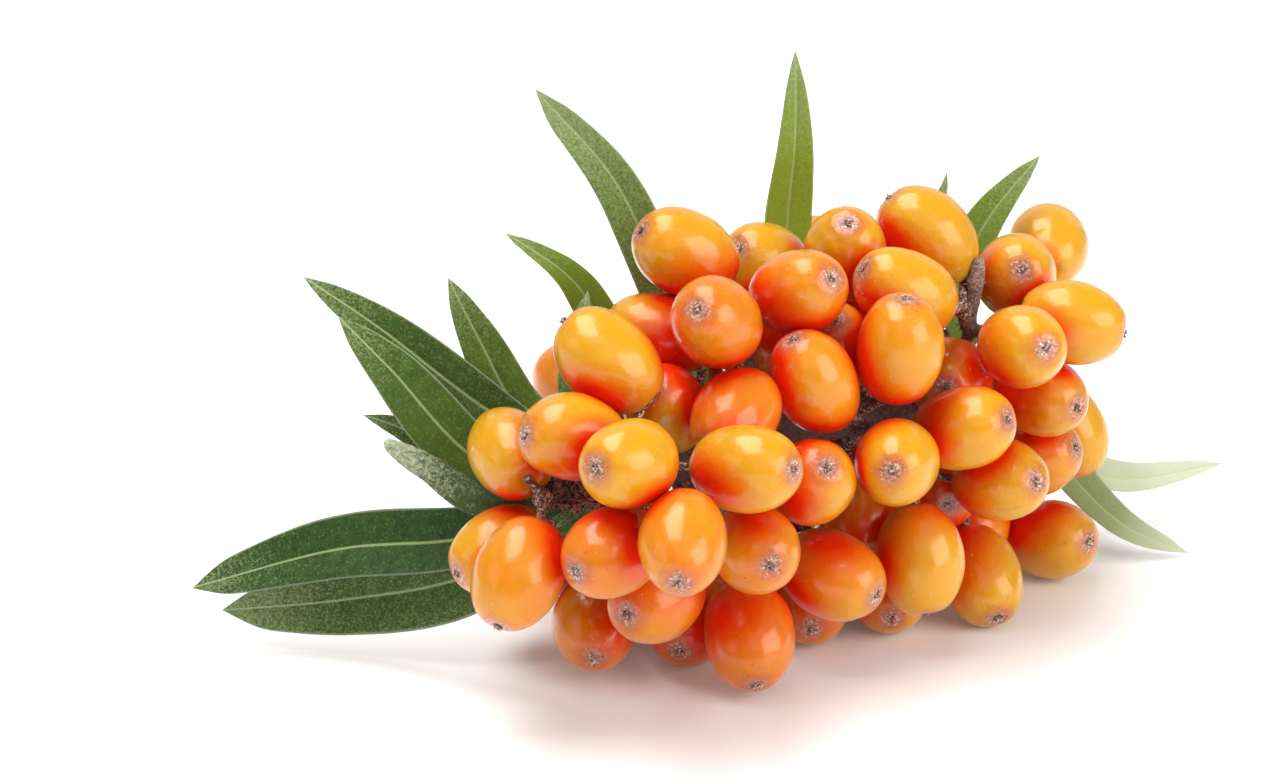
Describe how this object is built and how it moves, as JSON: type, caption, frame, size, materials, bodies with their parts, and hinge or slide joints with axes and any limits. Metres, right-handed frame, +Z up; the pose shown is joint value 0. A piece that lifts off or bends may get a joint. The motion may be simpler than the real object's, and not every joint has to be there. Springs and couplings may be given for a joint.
{
  "type": "sea buckthorn sprig",
  "caption": "Cut woody sprig lying on its side, packed with small oval orange berries on forked stalks, with narrow lance-shaped leaves.",
  "frame": {"origin": "middle of the underside of the bounding box, on the surface that the sprig lies on", "axes": "+X along the sprig to the cut end's side, +Y to the back of the cluster, +Z up from the surface"},
  "size_m": [0.1098, 0.0816, 0.0575],
  "materials": {
    "berry_skin": "thin smooth glossy fruit skin over translucent flesh, with a scaly brown tip",
    "leaf_green": "matte leaf, dark green above with fine silvery scales, silvery below",
    "bark": "rough reddish-brown scaly bark"
  },
  "bodies": {
    "root": {"berry_cluster_01": "berry_skin", "berry_cluster_02": "berry_skin", "berry_cluster_03": "berry_skin", "berry_cluster_04": "berry_skin", "berry_cluster_05": "berry_skin", "berry_cluster_06": "berry_skin", "berry_cluster_07": "berry_skin", "berry_cluster_08": "berry_skin", "berry_cluster_09": "berry_skin", "berry_cluster_10": "berry_skin", "berry_cluster_11": "berry_skin", "berry_cluster_12": "berry_skin", "berry_cluster_13": "berry_skin", "berry_cluster_14": "berry_skin", "berry_cluster_15": "berry_skin", "berry_cluster_16": "berry_skin", "berry_cluster_17": "berry_skin", "berry_cluster_18": "berry_skin", "berry_cluster_19": "berry_skin", "berry_cluster_20": "berry_skin", "berry_cluster_21": "berry_skin", "berry_cluster_22": "berry_skin", "berry_cluster_23": "berry_skin", "berry_cluster_24": "berry_skin", "berry_cluster_25": "berry_skin", "berry_cluster_26": "berry_skin", "berry_cluster_27": "berry_skin", "berry_cluster_28": "berry_skin", "berry_cluster_29": "berry_skin", "berry_cluster_30": "berry_skin", "berry_cluster_31": "berry_skin", "berry_cluster_32": "berry_skin", "berry_cluster_33": "berry_skin", "berry_cluster_34": "berry_skin", "berry_cluster_35": "berry_skin", "berry_cluster_36": "berry_skin", "berry_cluster_37": "berry_skin", "berry_cluster_38": "berry_skin", "berry_cluster_39": "berry_skin", "berry_cluster_40": "berry_skin", "berry_cluster_41": "berry_skin", "berry_cluster_42": "berry_skin", "branch": "bark", "leaf_back_1": "leaf_green", "leaf_back_2": "leaf_green", "leaf_left_1": "leaf_green", "leaf_left_2": "leaf_green", "leaf_left_3": "leaf_green", "leaf_left_4": "leaf_green", "leaf_left_5": "leaf_green", "leaf_left_6": "leaf_green", "leaf_left_7": "leaf_green", "leaf_left_8": "leaf_green", "leaf_left_9": "leaf_green", "leaf_right_1": "leaf_green", "leaf_right_2": "leaf_green", "leaf_top_1": "leaf_green", "leaf_top_2": "leaf_green", "leaf_top_3": "leaf_green", "leaf_top_4": "leaf_green"}
  },
  "joints": []
}
